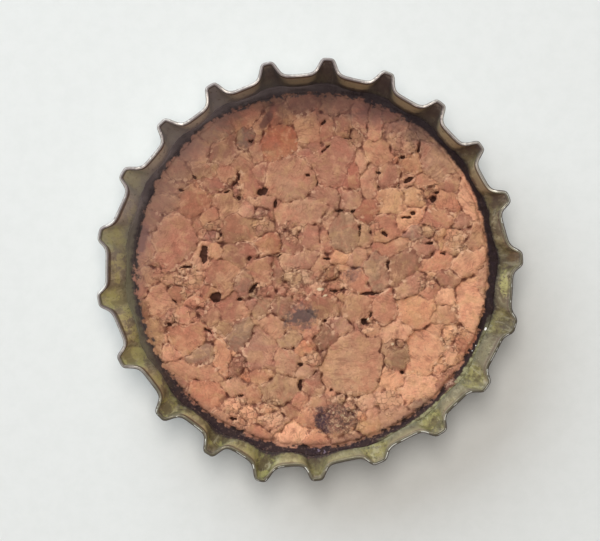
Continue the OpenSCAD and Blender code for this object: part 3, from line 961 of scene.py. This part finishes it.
class Skirt:
    """The fluted skirt's shape: where the outside lies at each direction and height."""

    def __init__(self, sizes):
        self.sizes = sizes
        self.wall_r = sizes.bore_d / 2 + sizes.sheet
        self.low = sizes.corner_r + sizes.plain_wall
        self.rise = sizes.height - self.low
        self.pitch = 360 / sizes.teeth
        middle = self.wall_r + sizes.land_flare + sizes.tooth_out / 2
        self.pitch_len = 2 * math.pi * middle / sizes.teeth

    def tooth_share(self, direction, t):
        """1 in the middle of a tooth and 0 on the lands."""
        turns = (direction - self.sizes.first_tooth) / self.pitch
        share = abs(turns - round(turns))
        width = self.sizes.tooth_root_w + (self.sizes.tooth_w - self.sizes.tooth_root_w) * t
        return 1 / (1 + (share * 2 * self.pitch_len / width) ** self.sizes.squareness)

    def radius(self, direction, t):
        """Radius of the outside, at a share t of the way up the flutes."""
        land, tip = (pushed(direction, BENDS, column) * MM for column in (2, 3))
        bent = t**self.sizes.bend_curve
        tooth = self.sizes.tooth_out * t**self.sizes.tooth_curve + (tip - land) * bent
        flare = self.sizes.land_flare * t**self.sizes.land_curve + land * bent
        return self.wall_r + flare + tooth * self.tooth_share(direction, t)

    def inside_mm(self, direction, height_mm):
        """Radius inside the shell at this height, less a hair, in millimetres."""
        t = max(0, (height_mm * MM - self.low) / self.rise)
        return (self.radius(self.unshifted(direction), t) - self.sizes.sheet * 1.1) / MM - 0.02

    def hollow_at(self, x, y):
        """1 in front of the middle of a tooth's hollow and 0 in front of a land."""
        return self.tooth_share(self.unshifted(math.degrees(math.atan2(y, x))), 0.5)

    def slope(self, direction):
        """How fast the wall leans out at the rim."""
        below = self.radius(direction, 1 - RIM_SPAN)
        return (self.radius(direction, 1) - below) / (RIM_SPAN * self.rise)

    def shifted(self, direction):
        """Where a place on an even ring of teeth lies once they are shifted sideways."""
        return direction + pushed(direction, SHIFTS, 2)

    def unshifted(self, direction):
        """Roughly where a place on the shifted ring lay on the even one."""
        return direction - pushed(direction, SHIFTS, 2)


def spun_shell(sizes, skirt):
    """The shell's outside as a smooth cup: a half section turned about the axis."""
    bm = bmesh.new()
    corner = sizes.corner_r
    section = [(r * MM, 0.0) for r in PANEL_RINGS]
    for i in range(CORNER_STEPS + 1):
        a = math.radians(90 * i / CORNER_STEPS)
        out = skirt.wall_r - corner + corner * math.sin(a)
        section.append((out, corner - corner * math.cos(a)))
    for i in range(WALL_STEPS + 1):
        section.append((skirt.wall_r, skirt.low + skirt.rise * i / WALL_STEPS))
    verts = [bm.verts.new((r, 0, z)) for r, z in section]
    edges = [bm.edges.new(pair) for pair in zip(verts, verts[1:])]
    bmesh.ops.spin(
        bm, geom=verts + edges, cent=(0, 0, 0), axis=(0, 0, 1),
        angle=math.tau, steps=sizes.teeth * STEPS_PER_TOOTH, use_merge=True,
    )
    bmesh.ops.remove_doubles(bm, verts=bm.verts[:], dist=0.001 * MM)
    bmesh.ops.recalc_face_normals(bm, faces=bm.faces[:])
    panel = min(bm.faces, key=lambda f: f.calc_center_median().length)
    if panel.normal.z > 0:
        bmesh.ops.reverse_faces(bm, faces=bm.faces[:])
    return bm


def flute(bm, sizes, skirt):
    """Moves the plain wall's points out to the teeth, the lands and the bends."""
    valley = bm.verts.layers.float.new("valley")
    up = bm.verts.layers.float.new("up")
    for v in bm.verts:
        t = (v.co.z - skirt.low) / skirt.rise
        if t <= 1e-4:
            continue
        direction = math.degrees(math.atan2(v.co.y, v.co.x))
        lean = skirt.slope(direction)
        rim_drop = sizes.sheet * lean / math.hypot(1, lean)
        r = skirt.radius(direction, t)
        a = math.radians(skirt.shifted(direction))
        v.co = (r * math.cos(a), r * math.sin(a), skirt.low + (skirt.rise - rim_drop) * t)
        v[valley] = skirt.tooth_share(direction, t) * min(1, t * 1.5)
        v[up] = t
    bm.normal_update()


def thicken(bm, sizes):
    """Gives the sheet its thickness inwards, and each face the number of its material."""
    across = bm.verts.layers.float.new("across")
    outside = bm.faces[:]
    for v in bm.verts:
        v[across] = 1
    copied = bmesh.ops.duplicate(bm, geom=bm.verts[:] + bm.edges[:] + outside)
    inside = [g for g in copied["geom"] if isinstance(g, bmesh.types.BMFace)]
    inside_verts = [g for g in copied["geom"] if isinstance(g, bmesh.types.BMVert)]
    moves = [(v, v.normal * v.calc_shell_factor() * sizes.sheet) for v in inside_verts]
    for v, move in moves:
        v.co -= move
        v[across] = 0
    bmesh.ops.reverse_faces(bm, faces=inside)
    rims = [e for e in bm.edges if e.is_boundary]
    edge = bmesh.ops.bridge_loops(bm, edges=rims)["faces"]
    for faces, number in ((inside, 0), (edge, 1), (outside, 2)):
        for f in faces:
            f.material_index = number


def round_cut_edge(bm, sizes):
    """Takes the sharpness off both sides of the cut edge, where two materials meet."""
    corners = [e for e in bm.edges if len({f.material_index for f in e.link_faces}) > 1]
    bmesh.ops.bevel(
        bm, geom=corners, offset=sizes.edge_r, segments=2, profile=0.5,
        affect="EDGES", material=-1, clamp_overlap=True,
    )


# ---------------------------------------------------------------- cork


class Granule:
    """A chip of cork, or a pit: an angular outline round a middle. In millimetres."""

    def __init__(self, place, size, turn, tint, rng, angular=GRANULE_ANGULAR):
        self.place = place
        self.half = (size[0] / 2, size[1] / 2)
        self.reach = math.sqrt(self.half[0] * self.half[1])
        self.turn = math.radians(turn)
        self.angular = angular
        count = rng.randint(5, 6)
        start = rng.uniform(0, math.tau)
        self.sides = [
            (start + math.tau * (k + rng.uniform(-0.25, 0.25)) / count, rng.uniform(0.88, 1.06))
            for k in range(count)
        ]
        self.tint = varied_tint(CORK_TINTS[tint], rng)
        self.drop = 0.012 + min(0.15, abs(rng.gauss(0, 0.05)))
        self.lean = (rng.gauss(0, 0.05), rng.gauss(0, 0.05))
        self.fade_turn = rng.uniform(0, math.tau)
        self.fade = rng.uniform(0.2, 1)
        self.grain_turn = rng.uniform(0, math.pi)
        self.grain_shift = (rng.uniform(0, 50), rng.uniform(0, 50))

    def outside(self, x, y):
        """How far points lie outside the outline: below 0 is inside."""
        dx, dy = x - self.place[0], y - self.place[1]
        c, s = math.cos(self.turn), math.sin(self.turn)
        u = (dx * c + dy * s) / self.half[0]
        v = (dy * c - dx * s) / self.half[1]
        flat = np.max([(u * math.cos(a) + v * math.sin(a)) / d for a, d in self.sides], axis=0)
        round_part = (1 - self.angular) * np.hypot(u, v)
        return (self.angular * flat + round_part - 1) * self.reach


def varied_tint(rgb, rng):
    """A tint moved a little in brightness and in warmth, as linear colour."""
    light = rng.gauss(1, 0.055)
    warm = rng.gauss(0, 2)
    r, g, b = rgb
    return srgb(*(max(0, min(255, c)) for c in (r * light + warm, g * light, b * light - warm)))


def lay_out_granules(sizes):
    """Places large granules, then fits smaller ones between them at random."""
    rng = random.Random(sizes.seed)
    disc_r = sizes.radius / MM
    granules = [
        Granule((x, y), (long, wide), turn, tint, rng)
        for x, y, long, wide, turn, tint in LARGE_GRANULES
    ]
    places = []
    for _ in range(FILLER_TRIES):
        a, out = rng.uniform(0, math.tau), disc_r * math.sqrt(rng.random())
        places.append((out * math.cos(a), out * math.sin(a)))
    x, y = np.array(places).T
    room = np.min([g.outside(x, y) for g in granules], axis=0)
    tints = [tint for tint, count in FILLER_TINTS for _ in range(count)]
    crumbs = crumbliness(x, y)
    for r in FILLER_RADII:
        for i, place in enumerate(places):
            if room[i] < r * FILLER_ROOM or (r < CRUMB_R and crumbs[i] < 0.3):
                continue
            long = r * rng.uniform(1.0, 1.5)
            size = (2 * long, 2 * r * r / long * rng.uniform(1, 1.15))
            granules.append(Granule(place, size, rng.uniform(0, 180), rng.choice(tints), rng))
            room = np.minimum(room, granules[-1].outside(x, y))
    return granules


def open_pits(sizes):
    """The pits. One that is as long as it is wide is round."""
    rng = random.Random(sizes.seed + 1)
    pits = []
    for x, y, long, wide, turn in PITS:
        angular = 0 if long == wide else PIT_ANGULAR
        pits.append(Granule((x, y), (long, wide), turn, "brown", rng, angular))
    return pits


def crumbliness(x, y):
    """1 in the middle of a crumbly place and 0 outside it."""
    nearness = [np.clip(1.4 - np.hypot(x - a, y - b) / r, 0, 1) for a, b, r in CRUMBLY]
    return np.max(nearness, axis=0)


def disc_of_squares(sizes):
    """A flat disc of even, four-sided faces: a square grid drawn round."""
    bm = bmesh.new()
    n = sizes.fineness
    bmesh.ops.create_grid(bm, x_segments=n, y_segments=n, size=1)
    r = sizes.radius / MM - FACE_MARGIN
    for v in bm.verts:
        a, b = v.co.x, v.co.y
        if abs(a) > abs(b):
            out, turn = a, math.pi / 4 * b / a
        else:
            out, turn = b, math.pi / 2 - math.pi / 4 * a / (b or 1)
        v.co = (r * out * math.cos(turn), r * out * math.sin(turn), CORK_HIGH.z / MM)
    return bm


def add_sides(bm, sizes, wall):
    """Closes the disc: its edge, the residue that fills the gap up to the wall, and its
    underside."""
    low, high = CORK_LOW.z / MM, CORK_HIGH.z / MM
    r, root = sizes.radius / MM, sizes.root_r / MM
    # How far out and how high the disc's edge, the residue and the disc's side run
    profile = [
        (r + 0.02, high - 0.26), (r + 0.1, high - 0.28), (r + 0.2, high - 0.24),
        (r + 0.28, high - 0.18), (TO_WALL - 0.14, high - 0.08), (TO_WALL - 0.05, high),
        (TO_WALL + 0.05, high + 0.14), (r + 0.3, high - 0.6), (r, high - 0.9), (r, low + root),
    ]
    for i in range(1, ROOT_STEPS + 1):
        a = math.radians(90 * i / ROOT_STEPS)
        profile.append((r - root + root * math.cos(a), low + root - root * math.sin(a)))
    loop = [e for e in bm.edges if e.is_boundary]
    for out, z in profile:
        made = bmesh.ops.extrude_edge_only(bm, edges=loop)["geom"]
        for v in (g for g in made if isinstance(g, bmesh.types.BMVert)):
            way = Vector((v.co.x, v.co.y, 0)).normalized()
            far = out
            if out > TO_WALL / 2:
                far = wall(math.degrees(math.atan2(way.y, way.x)), z) + out - TO_WALL
            v.co = (way.x * far, way.y * far, z)
        loop = [g for g in made if isinstance(g, bmesh.types.BMEdge)]
    bmesh.ops.edgeloop_fill(bm, edges=loop)
    bmesh.ops.recalc_face_normals(bm, faces=bm.faces[:])


def noise_at(points, scale, shift):
    """Smooth noise at each point, from about -1 to 1. Each shift gives another pattern."""
    offset = Vector((shift, shift * 1.7, 0))
    return np.array([noise.noise(Vector((x, y, 0)) * scale + offset) for x, y in points])


class CorkFace:
    """Which granule each point of the face belongs to, and how near the next ones are."""

    def __init__(self, granules, points, sizes):
        wander = sizes.wander / MM
        x, y = points.T
        broad = [noise_at(points, 0.8, shift) for shift in (3.1, 41.7)]
        fine = [noise_at(points, 3.1, shift) + 0.4 * noise_at(points, 7.3, shift)
                for shift in (17.9, 29.3)]
        wx, wy = (p + wander * (0.6 * b + 0.7 * f) for p, b, f in zip((x, y), broad, fine))
        count = len(x)
        self.nearest = np.zeros(count, int)
        self.next = np.zeros(count, int)
        gaps = np.full((3, count), 1e3)
        for i, granule in enumerate(granules):
            gap = granule.outside(wx, wy)
            first = gap < gaps[0]
            second = ~first & (gap < gaps[1])
            third = ~first & ~second & (gap < gaps[2])
            gaps[2] = np.where(first | second, gaps[1], np.where(third, gap, gaps[2]))
            self.next = np.where(first, self.nearest, np.where(second, i, self.next))
            gaps[1] = np.where(first, gaps[0], np.where(second, gap, gaps[1]))
            self.nearest = np.where(first, i, self.nearest)
            gaps[0] = np.where(first, gap, gaps[0])
        self.hole = np.min([pit.outside(wx, wy) for pit in open_pits(sizes)], axis=0)
        self.seam = (gaps[1] - gaps[0]) / 2
        self.corner = (gaps[2] - gaps[0]) / 2
        self.points = points
        self.granules = granules
        self.openness = self.find_openness(sizes)

    def find_openness(self, sizes):
        """How far each seam stands open, from 0 to 1: every pair of granules differs."""
        count = len(self.granules)
        chance = np.random.default_rng(sizes.seed).random((count, count))
        low, high = np.minimum(self.nearest, self.next), np.maximum(self.nearest, self.next)
        own = chance[low, high]
        patch = noise_at(self.points, 0.7, 61.3)
        short = noise_at(self.points, 2.3, 51.9)
        crumbs = crumbliness(*self.points.T)
        return np.clip(0.45 * own + 0.35 * patch + 1.35 * short + 0.3 * crumbs - 0.12, 0.05, 1)

    def of_granule(self, name):
        """A value of the granule that each point belongs to."""
        return np.array([getattr(g, name) for g in self.granules])[self.nearest]

    def fade(self):
        """From -1 to 1 across each granule, in a direction of its own."""
        x, y = self.points.T
        px, py = self.of_granule("place").T
        turn = self.of_granule("fade_turn")
        across = (x - px) * np.cos(turn) + (y - py) * np.sin(turn)
        return np.clip(across / self.of_granule("reach"), -1, 1) * self.of_granule("fade")

    def heights(self, sizes):
        """How far each point lies below the top of the face."""
        x, y = self.points.T
        # Seams are wider and deeper where they stand open, with a shoulder on each side
        wide = 0.04 + 0.035 * self.openness
        seam_deep = sizes.crevice / MM * self.openness**2
        groove = (0.012 + seam_deep) * np.exp(-((self.seam / wide) ** 2))
        shoulder = (0.02 + 0.06 * self.openness) * np.exp(-self.seam / 0.13)
        dome = DOME_DEPTH * (1 - np.clip(self.seam / 0.7, 0, 1)) ** 2
        # Some corners between three granules are open, and pits have uneven depths
        corner_open = np.clip(noise_at(self.points, 1.3, 83.9) * 2.6 - 0.9, 0, 1)
        corner = CORNER_DEPTH * corner_open * np.exp(-((self.corner / 0.08) ** 2))
        hole = np.clip(0.1 - self.hole / 0.09, 0, 1) * (1 + 0.4 * noise_at(self.points, 4.0, 2.2))
        self.crevice = 0.75 * groove + 0.8 * corner + 0.5 * hole
        # Each granule is sunk and leans a little, under broad waves and chipped places
        px, py = self.of_granule("place").T
        lx, ly = self.of_granule("lean").T
        lean = lx * (x - px) + ly * (y - py)
        waves = 0.035 * noise_at(self.points, 0.9, 5.7) + 0.03 * noise_at(self.points, 2.4, 9.1)
        chips = CHIP_DEPTH * np.clip(noise_at(self.points, 1.9, 33.3) - 0.2, 0, 1)
        sunk = self.of_granule("drop") + PIT_DEPTH * hole
        below = groove + shoulder + dome + corner + sunk + waves + chips - lean
        # The disc's edge is worn down by an uneven amount
        ragged = noise_at(self.points, 1.1, 77.7) + 0.6 * noise_at(self.points, 3.5, 70.1)
        out = np.hypot(x, y) - (sizes.radius / MM - 0.14) + 0.15 * np.clip(ragged, -0.5, 1.2)
        edge = EDGE_DEPTH * np.clip(out / 0.16, 0, 1) ** 2
        return np.clip(below, 0.004, None) + edge


# ---------------------------------------------------------------- pieces


def new_piece(name, bm, paints):
    """Makes a smooth-shaded object at the origin from a bmesh."""
    for f in bm.faces:
        f.smooth = True
    mesh = bpy.data.meshes.new(name)
    bm.to_mesh(mesh)
    bm.free()
    for paint in paints:
        mesh.materials.append(paint)
    piece = bpy.data.objects.new(name, mesh)
    bpy.context.scene.collection.objects.link(piece)
    return piece


class CAP_OT_shell(bpy.types.Operator):
    """Make the pressed shell with its fluted, bent skirt"""

    bl_idname = "cap.shell"
    bl_label = "Shell"

    def execute(self, context):
        sizes, colours = context.scene.cap_shell, context.scene.cap_colours
        skirt = Skirt(sizes)
        bm = spun_shell(sizes, skirt)
        flute(bm, sizes, skirt)
        thicken(bm, sizes)
        round_cut_edge(bm, sizes)
        # The rounded edge stays inside the shell's height
        for v in bm.verts:
            v.co.z = min(v.co.z, sizes.height)
        paints = [lacquer_paint(colours), edge_paint(colours), tin_paint(colours)]
        piece = new_piece("pressed_shell", bm, paints)
        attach(piece, "root")
        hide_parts("shell")
        return {"FINISHED"}


class CAP_OT_cork(bpy.types.Operator):
    """Make the cork disc out of pressed granules"""

    bl_idname = "cap.cork"
    bl_label = "Cork disc"

    def execute(self, context):
        sizes, colours = context.scene.cap_cork, context.scene.cap_colours
        bm = disc_of_squares(sizes)
        face_points = len(bm.verts)
        skirt = Skirt(context.scene.cap_shell)
        add_sides(bm, sizes, skirt.inside_mm)
        piece = new_piece("cork_disc", bm, [cork_paint(colours)])
        self.press_granules(piece.data, face_points, sizes, skirt)
        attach(piece, "root")
        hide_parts("cork_liner")
        return {"FINISHED"}

    def press_granules(self, mesh, face_points, sizes, skirt):
        """Moves the face's points to the granules' surface, and marks each granule."""
        co = np.empty(len(mesh.vertices) * 3)
        mesh.vertices.foreach_get("co", co)
        co = co.reshape(-1, 3)
        face = CorkFace(lay_out_granules(sizes), co[:, :2].copy(), sizes)
        co[:face_points, 2] -= face.heights(sizes)[:face_points]
        # The upper side of the residue has lumps, and a crumb of cork lies on it
        residue = slice(face_points, len(co))
        upper = co[residue, 2] > CORK_HIGH.z / MM - 0.5
        places = face.points[residue]
        lumps = noise_at(places, 1.4, 12.5) + 0.6 * noise_at(places, 4, 7.5)
        crumb = 0.22 * np.exp(-np.hypot(*(places - CRUMB_PLACE).T) ** 2 / 0.1)
        co[residue, 2] += np.where(upper, 0.08 * lumps + crumb, 0)
        mesh.vertices.foreach_set("co", (co * MM).ravel())
        tint = np.array([(*g.tint, 1) for g in face.granules])[face.nearest]
        turn = face.of_granule("grain_turn")
        sx, sy = face.of_granule("grain_shift").T
        x, y = face.points.T
        along = x * np.cos(turn) + y * np.sin(turn) + sx
        beside = y * np.cos(turn) - x * np.sin(turn) + sy
        self.mark(mesh, "tint", tint, "FLOAT_COLOR", "color")
        grain = np.stack([along, beside, co[:, 2]], axis=1)
        self.mark(mesh, "grain", grain, "FLOAT_VECTOR", "vector")
        on_face = np.arange(len(co)) < face_points
        self.mark(mesh, "seam", np.where(on_face, np.clip(face.seam, 0, 1), 1))
        self.mark(mesh, "open", face.openness)
        self.mark(mesh, "crumbs", crumbliness(x, y))
        self.mark(mesh, "crevice", np.where(on_face, face.crevice, 0))
        self.mark(mesh, "fade", face.fade())
        self.mark(mesh, "hollow", np.array([skirt.hollow_at(*place) for place in face.points]))
        mesh.update()

    def mark(self, mesh, name, values, kind="FLOAT", field="value"):
        mesh.attributes.new(name, kind, "POINT").data.foreach_set(field, values.ravel())


class CAP_OT_stage(bpy.types.Operator):
    """Make the floor, the lamps, the sky and the camera"""

    bl_idname = "cap.stage"
    bl_label = "Stage"

    def execute(self, context):
        stage = context.scene.cap_stage
        self.floor(stage)
        self.sky(context.scene, stage)
        self.lamp(context.scene, "top", stage.top_power, stage.top_way, TOP_LIGHT)
        self.lamp(context.scene, "side", stage.side_power, stage.side_way, SIDE_LIGHT)
        self.camera(context.scene, stage)
        context.scene.view_settings.view_transform = "Standard"
        return {"FINISHED"}

    def floor(self, stage):
        bm = bmesh.new()
        bmesh.ops.create_circle(bm, cap_ends=True, segments=64, radius=FLOOR_R)
        new_piece("floor", bm, [floor_paint(stage.floor)])

    def sky(self, scene, stage):
        """Even light all round, behind which the camera sees a pale backdrop."""
        scene.world = bpy.data.worlds.new("sky")
        paint = Paint(scene.world)
        even = paint.add("ShaderNodeBackground", {}, {0: SKY_LIGHT, 1: stage.sky})
        seen = paint.add("ShaderNodeBackground", {}, {0: BACKDROP, 1: 0.95})
        to_camera = paint.add("ShaderNodeLightPath", output="Is Camera Ray")
        mixed = paint.add("ShaderNodeMixShader", {}, {0: to_camera, 1: even, 2: seen})
        paint.node("ShaderNodeOutputWorld", {}, {0: mixed})

    def lamp(self, scene, name, power, way, colour):
        """An oval lamp that faces the cap."""
        direction, elevation, far, width, height = way
        data = bpy.data.lights.new(name, "AREA")
        data.shape = "ELLIPSE"
        data.size, data.size_y = width * MM, height * MM
        data.energy = power
        data.color = colour
        lamp = bpy.data.objects.new(name, data)
        scene.collection.objects.link(lamp)
        a, e = math.radians(direction), math.radians(elevation)
        toward = Vector((math.cos(a) * math.cos(e), math.sin(a) * math.cos(e), math.sin(e)))
        lamp.location = toward * far * MM
        lamp.rotation_mode = "QUATERNION"
        lamp.rotation_quaternion = toward.to_track_quat("Z", "Y")

    def camera(self, scene, stage):
        data = bpy.data.cameras.new("camera")
        data.sensor_width = 36
        data.lens = stage.lens
        data.clip_start, data.clip_end = 0.01, 10
        camera = bpy.data.objects.new("camera", data)
        camera.location = (-stage.aim_x, -stage.aim_y, CORK_HIGH.z + stage.camera_height)
        scene.collection.objects.link(camera)
        scene.camera = camera


class CAP_PT_panel(bpy.types.Panel):
    """Lists the steps that make the cap"""

    bl_idname = "CAP_PT_panel"
    bl_label = "Bottle Cap"
    bl_space_type = "VIEW_3D"
    bl_region_type = "UI"
    bl_category = "Bottle Cap"

    def draw(self, context):
        for operator, group in STEPS:
            self.layout.operator(operator)
            settings = getattr(context.scene, group)
            for name in settings.__annotations__:
                self.layout.prop(settings, name)
        for name in context.scene.cap_colours.__annotations__:
            self.layout.prop(context.scene.cap_colours, name)


STEPS = (("cap.shell", "cap_shell"), ("cap.cork", "cap_cork"), ("cap.stage", "cap_stage"))
GROUPS = {
    "cap_shell": CapShellSizes,
    "cap_cork": CapCorkSizes,
    "cap_colours": CapColours,
    "cap_stage": CapStage,
}
CLASSES = (*GROUPS.values(), CAP_OT_shell, CAP_OT_cork, CAP_OT_stage, CAP_PT_panel)


def register():
    for cls in CLASSES:
        bpy.utils.register_class(cls)
    for name, group in GROUPS.items():
        setattr(bpy.types.Scene, name, PointerProperty(type=group))


def unregister():
    for name in GROUPS:
        delattr(bpy.types.Scene, name)
    for cls in reversed(CLASSES):
        bpy.utils.unregister_class(cls)


def main():
    register()
    bpy.ops.cap.shell()
    bpy.ops.cap.cork()
    bpy.ops.cap.stage()


if __name__ == "__main__":
    main()
